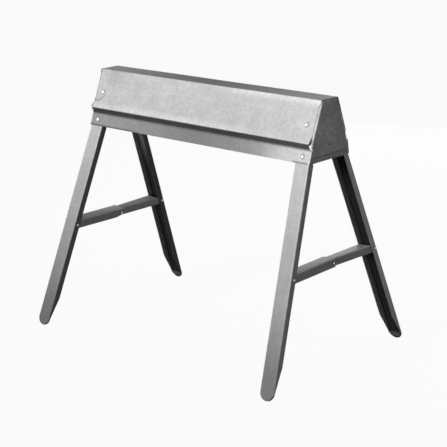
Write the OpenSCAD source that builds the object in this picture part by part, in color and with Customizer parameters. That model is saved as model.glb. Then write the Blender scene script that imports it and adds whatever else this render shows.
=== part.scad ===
// Folding sheet-steel sawhorse: a folded beam, two end caps, four channel legs and two folding braces.
// X runs along the beam, the front is towards -Y and the floor is at z = 0.

/* [Beam] */
// Height of the top face above the floor
top_height = 610; // [450:1:800]
// Length of the beam shell
beam_length = 680; // [560:1:1200]
// Width of the flat top
top_width = 56; // [40:1:90]
// Width across the shoulders, where the sloped sides end
shoulder_width = 136; // [120:1:180]
// Drop from the top to the shoulders
shoulder_drop = 87; // [70:1:120]
// Width across the necks, under the shoulders
neck_width = 120; // [100:1:150]
// Drop from the shoulders to the necks
jog_drop = 14; // [8:1:24]
// Drop from the necks to the lower edges of the flanges
flange_drop = 31; // [28:1:50]
// Thickness of the beam's sheet
beam_sheet = 1; // [0.8:0.1:1.6]
// Outer radius of the beam's bends
beam_bend = 2.4; // [1.8:0.1:4]

/* [Drawn-in ends] */
// Drop from the top to the fold where a side leaves the end cap
draw_drop = 76; // [55:1:84]
// Depth by which a side is drawn in at that fold
draw_depth = 5; // [2:0.5:8]
// Length over which a side lies on the end cap
draw_hold = 33; // [28:1:45]
// Length over which a side eases out to its full width
draw_run = 25; // [10:1:50]
// Length of the shoulder that is clipped away at each end
shoulder_clip = 8; // [4:1:16]
// Length by which the top and the sides end short of a cap's face
end_setback = 3.5; // [1:0.5:6]

/* [End caps] */
// Thickness of a cap's sheet
cap_sheet = 1; // [0.8:0.1:1.6]
// Reach of a cap's side flanges along the beam
cap_reach = 37; // [36:1:60]
// Reach of a cap's top flange along the beam
cap_top_reach = 22; // [12:1:34]
// Radius of a cap's upper corners
cap_corner = 4; // [3.5:0.5:8]
// Height of the side flanges' lower edges above the necks
cap_foot_rise = 1.2; // [1:0.1:12]
// Radius of the side flanges' lower corners
cap_foot_round = 12; // [4:1:20]
// Height of the hem along a cap's lower edge
hem_height = 10; // [6:1:16]
// Opening inside the fold of the hem
hem_gap = 0.8; // [0.6:0.1:2]
// Distance by which the hem's ends stop short of the cap's lower corners
hem_inset = 7; // [2:1:20]
// Height of the small hole above a cap's lower edge
cap_hole_rise = 33; // [26:1:50]
// Diameter of that hole
cap_hole = 5; // [3:0.5:8]
// Distance of the cap rivets from the ends of the shell
cap_rivet_inset = 25; // [16:1:28]
// Drop from the top to the cap rivets
cap_rivet_drop = 52; // [36:1:64]

/* [Legs] */
// Lean of the legs and of the lower flanges, across the beam
leg_tilt = 20; // [12:0.5:24]
// Splay of the legs along the beam, in the plane of their webs
leg_splay = 4.6; // [2:0.1:8]
// Width of a leg's web
leg_width = 38; // [32:1:42]
// Depth of a leg's flanges
leg_depth = 16; // [14:1:24]
// Thickness of a leg's sheet
leg_sheet = 1.4; // [1:0.1:2]
// Outer radius of a leg's bends
leg_bend = 2.8; // [2.2:0.1:3.4]
// Distance of the leg pivots from the ends of the shell
pivot_inset = 22; // [22:1:40]
// Height of the leg pivots above the lower edges of the flanges
pivot_rise = 14; // [10:1:18]
// Length below its pivot over which a leg's flanges rise to their full depth
leg_rise = 15; // [10:1:40]
// Depth of the lip that runs round a foot
foot_lip = 4; // [3:0.5:8]
// Length of a leg over which its flanges taper to the foot's lip
foot_taper = 60; // [40:1:100]

/* [Braces] */
// Distance along a leg from its pivot to the brace
brace_drop = 262; // [200:1:320]
// Room between a brace's walls and the leg's flanges
brace_room = 0.6; // [0.4:0.1:3]
// Depth of a brace's walls
brace_depth = 20; // [16:1:26]
// Thickness of a brace's sheet
brace_sheet = 1; // [0.8:0.1:1.4]
// Outer radius of a brace's bends
brace_bend = 2; // [1.6:0.1:3]
// Overlap of the two halves past the centre rivet
brace_lap = 5.5; // [5:0.5:8]
// Radius of a half's end at the leg
brace_end = 6; // [5:0.5:6.5]
// Room between the walls of the nested halves at the middle
nest_room = 4; // [3.5:0.1:5]
// Length of the slope that cuts a half's lower corner at the middle
brace_slope = 16; // [10:1:30]
// Distance from a half's leg rivets to the start of its web
web_start = 14; // [12:1:24]
// Room round a centre rivet in the nested half, whose hole opens towards its tip
notch_room = 1.2; // [1:0.1:1.6]
// Length by which that hole runs back from the rivet
notch_back = 3; // [2:0.5:5]
// Steepest direction in which that hole opens, below the line to the tip
notch_fall = 57; // [40:1:70]

/* [Rivets] */
// Diameter of the leg pivots' shanks
pivot_shank = 8; // [6:0.5:10]
// Diameter of the heads of the leg pivots and cap rivets
pivot_head = 11; // [9:0.5:14]
// Height of those domed heads
pivot_dome = 3; // [2:0.5:5]
// Diameter of the cap rivets' shanks
cap_shank = 6; // [4:0.5:8]
// Diameter of the brace rivets' shanks
brace_shank = 5; // [4:0.5:6]
// Diameter of the brace rivets' heads
brace_head = 9; // [7:0.5:11]
// Height of the brace rivets' domed heads
brace_dome = 2.2; // [1.5:0.1:3]
// Diameter of the pivot washers
washer_width = 17; // [14:0.5:22]
// Thickness of the pivot washers
washer_sheet = 1.2; // [0.8:0.1:2]
// Spread of the rivets' flat tails past their shanks
tail_spread = 2; // [1:0.5:4]
// Height of the rivets' flat tails
tail_height = 1.5; // [1:0.1:3]

/* [Fits] */
// Gap between faces that slide over each other
running_gap = 0.3; // [0.2:0.05:0.5]
// Gap round a shank in its hole, on the radius
pin_gap = 0.05; // [0.02:0.01:0.1]
// Gap between fixed pieces that lie against each other
seat_gap = 0.1; // [0.05:0.05:0.3]

/* [Hidden] */
$fn = 48;
over = 1;
bend_steps = 3;
draw_steps = 4;

shoulder_z = top_height - shoulder_drop;
neck_z = shoulder_z - jog_drop;
flange_z = neck_z - flange_drop;
draw_z = top_height - draw_drop;
end_x = beam_length / 2;
fold_half = (top_width + (shoulder_width - top_width) * draw_drop / shoulder_drop) / 2 - draw_depth;
cap_tilt = atan((fold_half - top_width / 2) / draw_drop);

pivot_x = end_x - pivot_inset;
pivot_z = flange_z + pivot_rise;
pivot_y = neck_width / 2 + (neck_z - pivot_z) * tan(leg_tilt);

leg_face = beam_sheet + running_gap;
leg_round = leg_width / 2;
foot_depth = leg_face + foot_lip;
leg_run = ((pivot_z - foot_depth * sin(leg_tilt)) / cos(leg_tilt) - leg_round) / cos(leg_splay);
washer_face = leg_face + leg_sheet + running_gap;

brace_width = leg_width - 2 * (leg_sheet + brace_room);
brace_seat = leg_face + leg_depth / 2;
brace_rise = brace_depth / 2;
brace_y = pivot_y - brace_seat * cos(leg_tilt) + brace_drop * cos(leg_splay) * sin(leg_tilt);
brace_run = brace_y / (pow(cos(leg_tilt), 2) + pow(sin(leg_tilt), 2) * cos(leg_splay));
nest_drop = brace_sheet + running_gap;
nest_width = brace_width - 2 * (brace_sheet + nest_room);
centre_reach = brace_width / 2 - nest_width / 2 + brace_sheet + running_gap;

ends = [["left", -1], ["right", 1]];
sides = [["front", -1], ["rear", 1]];

NODES = [
    "beam_shell",
    for (e = ends) for (n = ["end_cap", "cap_rivets"]) str(e[0], "_", n),
    for (e = ends) for (s = sides) for (n = ["leg", "pivot", "pivot_washer", "brace_rivets"])
        str(s[0], "_", e[0], "_", n),
    for (e = ends) for (n = ["brace_front_half", "brace_rear_half", "brace_centre_rivets"]) str(e[0], "_", n)
];
node = "all";

function unit(v) = v / norm(v);
function right_of(d) = [d[1], -d[0]];

// Points of an arc of radius r that rounds the corner b between a and c
function fillet(a, b, c, r) = let (
    d1 = unit(a - b),
    d2 = unit(c - b),
    half = acos(d1 * d2) / 2,
    centre = b + unit(d1 + d2) * r / sin(half),
    from = b + d1 * r / tan(half) - centre,
    to = b + d2 * r / tan(half) - centre,
    start = atan2(from[1], from[0]),
    turn = atan2(to[1], to[0]) - start,
    sweep = turn > 180 ? turn - 360 : turn < -180 ? turn + 360 : turn
) [for (i = [0:bend_steps]) centre + r * [cos(start + sweep * i / bend_steps), sin(start + sweep * i / bend_steps)]];

// A line of points moved to its right by t, with mitred corners
function beside(p, t) = [for (i = [0:len(p) - 1]) let (
    d1 = unit(p[max(i, 1)] - p[max(i, 1) - 1]),
    d2 = i < len(p) - 1 ? unit(p[i + 1] - p[i]) : d1,
    n1 = right_of(d1),
    n2 = right_of(d2)
) p[i] + t * (n1 + n2) / (1 + n1 * n2)];

function turned(p) = [for (i = [len(p) - 1:-1:0]) p[i]];
function flipped(p) = [for (q = turned(p)) [-q[0], q[1]]];

// Outer line of the shell's section in y and z, with its sides drawn in by the share w
function section_line(w) = let (
    edge = [top_width / 2, top_height],
    fold = [fold_half + draw_depth * (1 - w), draw_z],
    shoulder = [shoulder_width / 2, shoulder_z],
    neck = [neck_width / 2, neck_z],
    lip = [neck_width / 2 + flange_drop * tan(leg_tilt), flange_z],
    half = concat(
        fillet([0, top_height], edge, fold, beam_bend),
        [fold],
        fillet(fold, shoulder, neck, beam_bend),
        fillet(shoulder, neck, lip, beam_bend),
        [lip]
    )
) concat(flipped(half), half);

// Loop round a sheet of the thickness t: out along its outer line and back along its inner line
function sheet_loop(p, t) = concat(p, turned(beside(p, t)));

// Line from a over the corner b, rounded by the radius r, to c
function bend_line(a, b, c, r) = concat([a], fillet(a, b, c, r), [c]);

// Share by which a side is drawn in at the distance e from an end, eased at both ends of its run
function drawn(e) = let (t = min(1, max(0, (e - draw_hold) / draw_run))) 1 - t * t * (3 - 2 * t);

// Extrudes a shape drawn in y and z along x
module along_x(x, length) translate([x, 0, 0]) rotate([90, 0, 90]) linear_extrude(length) children();

// Extrudes a shape drawn in x and z along y
module along_y(y, length) translate([0, y + length, 0]) rotate([90, 0, 0]) linear_extrude(length) children();

// The right-hand end's pieces, mirrored for the left-hand end
module at_end(end) mirror([end < 0 ? 1 : 0, 0, 0]) children();

// The front right-hand corner's pieces, mirrored for the other corners
module at_corner(end, side) at_end(end) mirror([0, side > 0 ? 1 : 0, 0]) children();

// A leg's own frame: x across its web, y inwards from the flange's outer face, z up the leg, from its pivot
module leg_frame() translate([pivot_x, -pivot_y, pivot_z]) rotate([-leg_tilt, 0, 0]) rotate([0, -leg_splay, 0])
    children();

// A brace half's own frame: y from its rivets on the leg to the middle, z up
module brace_frame() leg_frame() translate([0, brace_seat, -brace_drop]) rotate([leg_tilt, 0, 0]) children();

// The frame of a cap rivet: y inwards from the outer face of the drawn-in side
module cap_rivet_frame() translate([
    end_x - cap_rivet_inset,
    -top_width / 2 - cap_rivet_drop * tan(cap_tilt),
    top_height - cap_rivet_drop
]) rotate([-cap_tilt, 0, 0]) children();

// Hole of diameter d along y
module hole_y(d, length) translate([0, -over, 0]) rotate([-90, 0, 0]) cylinder(d = d, h = length + 2 * over);

// Hole of diameter d along x, through both walls of a piece of the width w
module hole_x(d, w) translate([-w / 2 - over, 0, 0]) rotate([0, 90, 0]) cylinder(d = d, h = w + 2 * over);

// Spherical dome of width d and height h that stands on z = 0
module dome(d, h) {
    r = (d * d / 4 + h * h) / (2 * h);
    rotate_extrude() intersection() {
        translate([0, h - r]) circle(r, $fn = 96);
        square([d / 2, h]);
    }
}

// Rivet along +z: a domed head below z = 0, a shank of the length grip and a flat tail
module rivet(shank, head, rise, grip, tail) {
    mirror([0, 0, 1]) dome(head, rise);
    cylinder(d = shank, h = grip);
    translate([0, 0, grip]) cylinder(d = tail, h = tail_height);
}

module beam_shell() {
    near = [for (i = [0:draw_steps]) end_x - draw_hold - draw_run * i / draw_steps];
    stations = concat([-end_x], -near, turned(near), [end_x]);
    loops = [for (x = stations) sheet_loop(section_line(drawn(end_x - abs(x))), beam_sheet)];
    n = len(loops[0]);
    last = len(stations) - 1;
    points = [for (i = [0:last]) for (p = loops[i]) [stations[i], p[0], p[1]]];
    skin = [for (i = [0:last - 1]) for (j = [0:n - 1]) let (
        a = i * n + j,
        b = i * n + (j + 1) % n
    ) each [[a, a + n, b + n], [a, b + n, b]]];
    left_edge = [for (j = [0:n / 2 - 2]) [j, j + 1, n - 2 - j, n - 1 - j]];
    right_edge = [for (f = left_edge) [for (k = turned(f)) k + last * n]];
    color("gainsboro") difference() {
        polyhedron(points, concat(skin, left_edge, right_edge), convexity = 8);
        for (e = ends) at_end(e[1]) along_y(-shoulder_width, 2 * shoulder_width) polygon([
            [end_x - shoulder_clip, neck_z],
            [end_x - shoulder_clip, shoulder_z],
            [end_x - end_setback, draw_z],
            [end_x - end_setback, top_height + over],
            [end_x + over, top_height + over],
            [end_x + over, neck_z]
        ]);
        for (e = ends) for (s = sides) at_corner(e[1], s[1]) {
            leg_frame() hole_y(pivot_shank + 2 * pin_gap, leg_face);
            cap_rivet_frame() hole_y(cap_shank + 2 * pin_gap, beam_sheet);
        }
    }
}

module end_cap(end) {
    lip = [neck_width / 2 + flange_drop * tan(leg_tilt), flange_z];
    half = [[top_width / 2, top_height], [fold_half, draw_z], [neck_width / 2, neck_z], lip];
    p = beside(concat(flipped(half), half), beam_sheet + seat_gap);
    outline = concat([p[0], p[1], p[2]], fillet(p[2], p[3], p[4], cap_corner), fillet(p[3], p[4], p[5], cap_corner),
        [p[5], p[6], p[7]]);
    inner_x = end_x - cap_reach;
    flange_foot = neck_z + cap_foot_rise;
    hem_z = flange_z + hem_gap / 2 + cap_sheet;
    hem_half = neck_width / 2 + (neck_z - hem_z) * tan(leg_tilt) - (beam_sheet + seat_gap) / cos(leg_tilt) - hem_inset;
    color("dimgray") at_end(end) {
        difference() {
            along_x(inner_x, cap_reach) polygon(outline);
            along_x(inner_x - over, cap_reach + over - cap_sheet) polygon(beside(outline, cap_sheet));
            translate([inner_x - over, -shoulder_width, flange_z - over])
                cube([cap_reach + over - cap_sheet, 2 * shoulder_width, flange_foot - flange_z + over]);
            translate([inner_x - over, -top_width / 2, top_height - beam_sheet - cap_corner])
                cube([cap_reach - cap_top_reach + over, top_width, cap_corner + beam_sheet]);
            translate([inner_x - over, -shoulder_width, flange_z - over])
                cube([cap_reach + 2 * over, 2 * shoulder_width, hem_z - flange_z + over]);
            along_y(-shoulder_width, 2 * shoulder_width) translate([inner_x, flange_foot]) difference() {
                translate([-over, -over]) square(cap_foot_round + over);
                translate([cap_foot_round, cap_foot_round]) circle(cap_foot_round);
            }
            translate([inner_x, 0, flange_z + cap_hole_rise]) rotate([0, 90, 0])
                cylinder(d = cap_hole, h = cap_reach + over);
            for (s = sides) at_corner(1, s[1]) cap_rivet_frame()
                hole_y(cap_shank + 2 * pin_gap, beam_sheet + seat_gap + cap_sheet);
        }
        along_y(-hem_half, 2 * hem_half) {
            translate([end_x + hem_gap / 2, hem_z]) difference() {
                circle(hem_gap / 2 + cap_sheet);
                circle(hem_gap / 2);
                translate([-hem_height, 0]) square(2 * hem_height);
            }
            translate([end_x + hem_gap, hem_z]) square([cap_sheet, hem_height]);
        }
    }
}

module cap_rivets(end) {
    grip = beam_sheet + seat_gap + cap_sheet;
    color("silver") for (s = sides) at_corner(end, s[1]) cap_rivet_frame() rotate([-90, 0, 0])
        rivet(cap_shank, pivot_head, pivot_dome, grip, cap_shank + tail_spread);
}

// Half a leg's section in x and y: half the web at leg_face, a bend and a flange that runs inwards
module leg_section() polygon(sheet_loop(turned(bend_line(
    [0, leg_face],
    [leg_width / 2, leg_face],
    [leg_width / 2, leg_face + leg_depth],
    leg_bend
)), leg_sheet));

// Half-round end of a leg, below its centre
module leg_end() rotate([-90, 0, 0]) rotate_extrude(angle = 180) leg_section();

module leg(end, side) {
    web_back = leg_face + leg_sheet;
    back = leg_face + leg_depth + over;
    color("darkgray") at_corner(end, side) leg_frame() difference() {
        union() {
            mirror([0, 0, 1]) leg_end();
            translate([0, 0, -leg_run]) {
                linear_extrude(leg_run) for (m = [0, 1]) mirror([m, 0]) leg_section();
                leg_end();
            }
        }
        along_x(-leg_width, 2 * leg_width) {
            polygon([
                [foot_depth, -leg_run - leg_width],
                [foot_depth, -leg_run],
                [back, foot_taper - leg_run],
                [back, -leg_run - leg_width]
            ]);
            polygon([[web_back, leg_width], [web_back, 0], [back, -leg_rise], [back, leg_width]]);
        }
        hole_y(pivot_shank + 2 * pin_gap, web_back);
        translate([0, brace_seat, -brace_drop]) hole_x(brace_shank + 2 * pin_gap, leg_width);
    }
}

module pivot(end, side) {
    color("whitesmoke") at_corner(end, side) leg_frame() rotate([-90, 0, 0])
        rivet(pivot_shank, pivot_head, pivot_dome, washer_face + washer_sheet, pivot_head);
}

module pivot_washer(end, side) {
    color("silver") at_corner(end, side) leg_frame() difference() {
        translate([0, washer_face, 0]) rotate([-90, 0, 0]) cylinder(d = washer_width, h = washer_sheet);
        hole_y(pivot_shank + 2 * pin_gap, washer_face + washer_sheet);
    }
}

module brace_rivets(end, side) {
    grip = leg_width / 2 - brace_width / 2 + brace_sheet + running_gap;
    color("silver") at_corner(end, side) leg_frame() translate([0, brace_seat, -brace_drop])
        for (m = [0, 1]) mirror([m, 0, 0]) translate([leg_width / 2, 0, 0]) rotate([0, -90, 0])
            rivet(brace_shank, brace_head, brace_dome, grip, brace_shank + tail_spread);
}

// Inverted channel along y, whose sides run from the brace's width at the leg to the width w at the middle
module channel(w, top) {
    taper = atan((brace_width - w) / 2 / brace_run);
    start = -brace_end - over;
    length = brace_run + brace_lap + over - start;
    side = bend_line([0, -brace_rise], [0, top], [brace_width, top], brace_bend);
    for (m = [0, 1]) mirror([m, 0, 0]) intersection() {
        translate([-brace_width / 2, 0, 0]) rotate(-taper) along_y(start, length) polygon(sheet_loop(side, brace_sheet));
        translate([-brace_width, start, -brace_rise]) cube([brace_width, length, brace_depth]);
    }
}

// Side of a brace half in y and z: round ends about both rivets, with the web ending at the height top
module half_side(top, low, web_end) {
    polygon([
        [0, -brace_end],
        [brace_end, -low],
        [brace_run - brace_slope, -low],
        [brace_run, -brace_lap],
        [brace_run + brace_lap, 0],
        [web_end, top],
        [web_start, top],
        [0, brace_end]
    ]);
    circle(brace_end);
    translate([brace_run, 0]) circle(brace_lap);
}

module brace_front_half(end) {
    color("gray") at_corner(end, -1) brace_frame() difference() {
        intersection() {
            channel(brace_width, brace_rise);
            along_x(-brace_width, 2 * brace_width) half_side(brace_rise, brace_rise, brace_run + brace_lap);
        }
        for (y = [0, brace_run]) translate([0, y, 0]) hole_x(brace_shank + 2 * pin_gap, brace_width);
    }
}

module brace_rear_half(end) {
    notch = brace_shank + 2 * notch_room;
    notch_out = 2 * brace_lap;
    color("gray") at_corner(end, 1) brace_frame() difference() {
        intersection() {
            channel(nest_width, brace_rise - nest_drop);
            along_x(-brace_width, 2 * brace_width)
                half_side(brace_rise - nest_drop, brace_rise - brace_sheet, brace_run - brace_sheet);
        }
        hole_x(brace_shank + 2 * pin_gap, brace_width);
        along_x(-brace_width, 2 * brace_width) translate([brace_run, 0]) {
            circle(d = notch);
            rotate(-notch_fall / 2) {
                translate([-notch_back, 0]) circle(d = notch);
                translate([-notch_back, -notch / 2]) square([notch_back, notch]);
            }
            for (a = [0, -notch_fall]) rotate(a) translate([0, -notch / 2]) square([notch_out, notch]);
            polygon([[0, 0], [notch_out, 0], notch_out * [cos(notch_fall), -sin(notch_fall)]]);
        }
    }
}

module brace_centre_rivets(end) {
    color("silver") at_corner(end, -1) brace_frame() translate([0, brace_run, 0])
        for (m = [0, 1]) mirror([m, 0, 0]) translate([brace_width / 2, 0, 0]) rotate([0, -90, 0]) {
            mirror([0, 0, 1]) dome(brace_head, brace_dome);
            cylinder(d = brace_shank, h = centre_reach);
            translate([0, 0, brace_sheet]) cylinder(d = brace_shank + tail_spread, h = brace_sheet);
        }
}

function wanted(name) = node == "all" || node == name;

if (wanted("beam_shell")) beam_shell();
for (e = ends) {
    if (wanted(str(e[0], "_end_cap"))) end_cap(e[1]);
    if (wanted(str(e[0], "_cap_rivets"))) cap_rivets(e[1]);
    if (wanted(str(e[0], "_brace_front_half"))) brace_front_half(e[1]);
    if (wanted(str(e[0], "_brace_rear_half"))) brace_rear_half(e[1]);
    if (wanted(str(e[0], "_brace_centre_rivets"))) brace_centre_rivets(e[1]);
    for (s = sides) {
        corner = str(s[0], "_", e[0]);
        if (wanted(str(corner, "_leg"))) leg(e[1], s[1]);
        if (wanted(str(corner, "_pivot"))) pivot(e[1], s[1]);
        if (wanted(str(corner, "_pivot_washer"))) pivot_washer(e[1], s[1]);
        if (wanted(str(corner, "_brace_rivets"))) brace_rivets(e[1], s[1]);
    }
}
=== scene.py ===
"""Looks of the folding sheet-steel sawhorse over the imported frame: bent zinc-coated sheet, turned rivets
and a pale studio. Lengths are in mm, in the frame's axes, until a mesh is made in metres."""
import bmesh
import bpy
import numpy as np
from mathutils import Matrix


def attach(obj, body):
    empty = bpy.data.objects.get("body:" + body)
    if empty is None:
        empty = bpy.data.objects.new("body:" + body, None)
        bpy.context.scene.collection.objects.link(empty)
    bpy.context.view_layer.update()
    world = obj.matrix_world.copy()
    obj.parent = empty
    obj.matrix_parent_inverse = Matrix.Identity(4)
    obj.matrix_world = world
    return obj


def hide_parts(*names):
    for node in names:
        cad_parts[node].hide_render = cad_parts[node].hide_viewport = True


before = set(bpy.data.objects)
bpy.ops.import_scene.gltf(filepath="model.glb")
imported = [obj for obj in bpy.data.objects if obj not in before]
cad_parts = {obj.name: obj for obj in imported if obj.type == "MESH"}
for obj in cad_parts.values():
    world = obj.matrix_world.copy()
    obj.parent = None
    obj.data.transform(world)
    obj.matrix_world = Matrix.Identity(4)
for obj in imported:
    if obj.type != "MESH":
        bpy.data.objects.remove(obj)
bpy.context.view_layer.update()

MM = 0.001

# The beam's section: flat top, sloped sides, shoulder, jog in to the neck, and lower flange
TOP = 610.0
BEAM = 680.0
TOP_WIDTH = 56.0
SHOULDER_WIDTH = 136.0
SHOULDER_DROP = 87.0
JOG_DROP = 14.0
NECK_WIDTH = 120.0
FLANGE_DROP = 31.0
SHEET = 1.0
BEND = 2.4
CREASE_BEND = 1.5

# The beam's ends: sides drawn in below a curved crease, cut back, and dimpled under the cap rivets
DRAW_DROP = 76.0
DRAW_DEPTH = 5.0
DRAW_HOLD = 18.0
DRAW_RUN = 40.0
REAR_DRAW = 0.4
CREASE_TOP = 600.0
CREASE_DEEP = 63.0
CREASE_LONG = 43.0
CREASE_POWER = 2.7
CREASE_LEAST = 0.05
SETBACK = 3.5
REAR_CLIP = 9.0
RIGHT_CLIP = 8.0
LEFT_CLIP = 1.0
DIMPLE_SPREAD = 10.0
FRONT_DIMPLE = 0.35
REAR_DIMPLE = 2.0

# Unevenness of the beam's sheet: waves on the sides, and a bow along the lower flange
SWAY = 0.25
SWAY_LONG = 61.0
SWAY_HIGH = 19.0
SWAY_START = 0.7
FLANGE_BOW = 2.0
BOW_HALF = 150.0

# The end caps: pressed pans with ears above the neck, a hemmed lower edge and a small hole
CAP_EAR = 65.4
CAP_EAR_RISE = 2.0
CAP_NECK_FALL = 1.0
CAP_MIDDLE = 530.0
CAP_REACH = 37.0
CAP_TOP_REACH = 22.0
CAP_BEND = 3.6
CAP_BEND_MORE = 1.2
CAP_CORNER = 4.0
CAP_FOLD_ROUND = 3.0
CAP_EAR_ROUND = 1.0
CAP_NECK_ROUND = 0.8
CAP_REAR_ROUND = 12.0
CAP_FOOT_RISE = 1.2
CAP_FOOT_ROUND = 12.0
CAP_FLANGE_RISE = 7.5
CAP_HOLE = 5.0
CAP_HOLE_RISE = 33.0
CAP_RIVET_INSET = 25.0
CAP_RIVET_DROP = 52.0
HEM_HEIGHT = 10.0
HEM_GAP = 0.8
HEM_INSET = 7.0
HEM_FLAT = 25.0
SEAT_GAP = 0.1

# The legs: channels with round tops and dished round feet, tilted across the beam and splayed along it
TILT = np.radians(20.0)
SPLAY = np.radians(4.6)
LEG_WIDTH = 38.0
LEG_DEPTH = 16.0
LEG_SHEET = 1.4
LEG_BEND = 2.8
LEG_RISE = 15.0
RISE_MARGIN = 1.0
FOOT_LIP = 4.0
FOOT_TAPER = 60.0
PIVOT_INSET = 22.0
PIVOT_RISE = 14.0
RUN_GAP = 0.3

# The braces: inverted channels on the legs' rivets, the rear half nested in the front one at the middle
BRACE_DROP = 262.0
BRACE_WIDTH = 34.0
BRACE_DEPTH = 20.0
BRACE_SHEET = 1.0
BRACE_BEND = 2.0
BRACE_END = 6.0
WEB_START = 14.0
BRACE_LAP = 5.5
BRACE_OVER = 7.5
BRACE_SLOPE = 16.0
NEST_ROOM = 4.0
NOTCH_ROOM = 1.2
NOTCH_BACK = 3.0
NOTCH_TOP = 1.6
NOTCH_LOW = 1.0
NOTCH_FALL = np.radians(57.0)

# Rivets and washers
PIVOT_SHANK = 8.0
PIVOT_HEAD = 11.0
PIVOT_DOME = 3.0
CAP_SHANK = 6.0
BRACE_SHANK = 5.0
BRACE_HEAD = 9.0
BRACE_DOME = 2.2
HEAD_RIM = 0.35
HEAD_EDGE = 0.3
TAIL_SPREAD = 2.0
TAIL_HEIGHT = 1.5
TAIL_EDGE = 0.4
TAIL_STRAIGHT = 0.75
WASHER_WIDTH = 17.0
WASHER_SHEET = 1.2
WASHER_EDGE = 0.3
PIN_GAP = 0.05

# Meshing: steps over a pan's plate, bend and wall and round a rivet, and least sizes between points
PLATE_STEPS = 6
CAP_PLATE_STEPS = 10
BEND_STEPS = 7
WALL_STEPS = 5
TURN_STEPS = 40
LEAST_REACH = 0.25
LEAST_BEND = 0.02
LEAST_STEP = 1e-9
HAIR = 1e-3
MERGE_METRES = 2e-6
THIN_METRES = 1e-6
SHARP = np.radians(32)

# Sizes that follow
SHOULDER_Z = TOP - SHOULDER_DROP
NECK_Z = SHOULDER_Z - JOG_DROP
FLANGE_Z = NECK_Z - FLANGE_DROP
DRAW_Z = TOP - DRAW_DROP
END_X = BEAM / 2
FOLD_HALF = (TOP_WIDTH + (SHOULDER_WIDTH - TOP_WIDTH) * DRAW_DROP / SHOULDER_DROP) / 2 - DRAW_DEPTH
CAP_LEAN = np.arctan2(FOLD_HALF - TOP_WIDTH / 2, DRAW_DROP)
LIP = NECK_WIDTH / 2 + FLANGE_DROP * np.tan(TILT)
PIVOT_Z = FLANGE_Z + PIVOT_RISE
PIVOT_Y = NECK_WIDTH / 2 + (NECK_Z - PIVOT_Z) * np.tan(TILT)
LEG_FACE = SHEET + RUN_GAP
LEG_ROUND = LEG_WIDTH / 2
LEG_RUN = ((PIVOT_Z - (LEG_FACE + FOOT_LIP) * np.sin(TILT)) / np.cos(TILT) - LEG_ROUND) / np.cos(SPLAY)
BRACE_SEAT = LEG_FACE + LEG_DEPTH / 2
BRACE_RISE = BRACE_DEPTH / 2
BRACE_Y = PIVOT_Y - BRACE_SEAT * np.cos(TILT) + BRACE_DROP * np.cos(SPLAY) * np.sin(TILT)
BRACE_RUN = BRACE_Y / (np.cos(TILT) ** 2 + np.sin(TILT) ** 2 * np.cos(SPLAY))
NEST_DROP = BRACE_SHEET + RUN_GAP
NEST_WIDTH = BRACE_WIDTH - 2 * (BRACE_SHEET + NEST_ROOM)
WASHER_FACE = LEG_FACE + LEG_SHEET + RUN_GAP

# How far the sides' end edges are cut back, at heights from the lower flange up to the top
CUT_HEIGHTS = [NECK_Z - 1.5, NECK_Z, SHOULDER_Z - 3, SHOULDER_Z, DRAW_Z, TOP - 12, TOP - 4]
RIGHT_CUT = [0.0, RIGHT_CLIP, RIGHT_CLIP, SETBACK, SETBACK, SETBACK, 0.8]
LEFT_CUT = [0.0, LEFT_CLIP, LEFT_CLIP, LEFT_CLIP, SETBACK, SETBACK, 0.8]
REAR_CUT = [1.2, REAR_CLIP, REAR_CLIP, REAR_CLIP, SETBACK + 0.5, 0.6, 0.4]

# Painted shade on the beam: under the shoulder, in the left crease, along edges, on the top and the flange,
# and a painted shadow near the left end
JOG_SHADE = 0.94
JOG_FADE = 0.05
CREASE_SHADE = 0.5
RIM_SHADE = 0.6
EDGE_SHADOW = 0.5
EDGE_RIGHT = 1.5
TOP_SHADE = 0.34
TOP_MIDDLE_SHADE = 0.30
TOP_RIGHT_FADE = 0.08
FLANGE_SHADE = 0.42
FLANGE_MIDDLE_SHADE = 0.16
DRAW_SHADOW = 0.2

# Painted highlights on the beam: flared ends, a row above the shoulder, a glint under the top, the flange's
# end
FLARE_BRIGHT = 0.35
ROW_BRIGHT = 0.75
ROW_FADE = 0.75
GLINT_BRIGHT = 0.8
FLANGE_BRIGHT = 0.36

# Painted shade and painted highlights on the other pieces, darker shares on the feet's lips and the washers,
# and the radius from which a pan's bend takes its full painted highlight
FULL_BEND = 2.0
HEM_BENT = 0.4
HEM_SHADE = 0.1
LOW_SHADE = 0.2
LOW_SHADE_FROM = 0.66
FOOT_DULL = 0.9
LIT_INSIDE = 0.95
DISH_LIGHT = 0.22
BRACE_WALL_SHADE = 0.28
BRACE_FAR_SHADE = 0.35
BRACE_SHADED_DULL = 0.25
HEAD_BRIGHT = 0.7
BRACE_HEAD_BRIGHT = 0.35
HEAD_RIM_SHADE = 0.8
SHANK_SHADE = 0.85
WASHER_DULL = 0.5

# A leg's painted shade: its share on the walls near the bend and near the free edge, and how much lighter
# its channel is painted at the upper end
LEG_SHADE = {
    "front_left": (0.58, 0.58, 0.0),
    "front_right": (0.24, 0.24, 0.0),
    "rear_left": (0.8, 0.75, 0.3),
    "rear_right": (0.3, 0.0, 0.0),
}

# The coating: how painted shade changes its tone and gloss, the blue cast, and the patterns' waves per metre
SHADED_TONE = 0.05
SHADED_ROUGH = 0.4
BLUE_STEP = 0.005
PLAIN_SHINE = 0.14
LEG_SHINE = 0.05
LINE_WAVES = (14.0, 260.0, 1.0)
CLOUD_WAVES = (16.0, 16.0, 16.0)
SPECK_WAVES = (140.0, 140.0, 140.0)
FLAKE_WAVES = 170.0
SPECK_SHARE = 0.7
GLOSS_SPREAD = 0.04
LINE_BUMP = 0.12
LINE_BUMP_METRES = 0.0004

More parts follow.
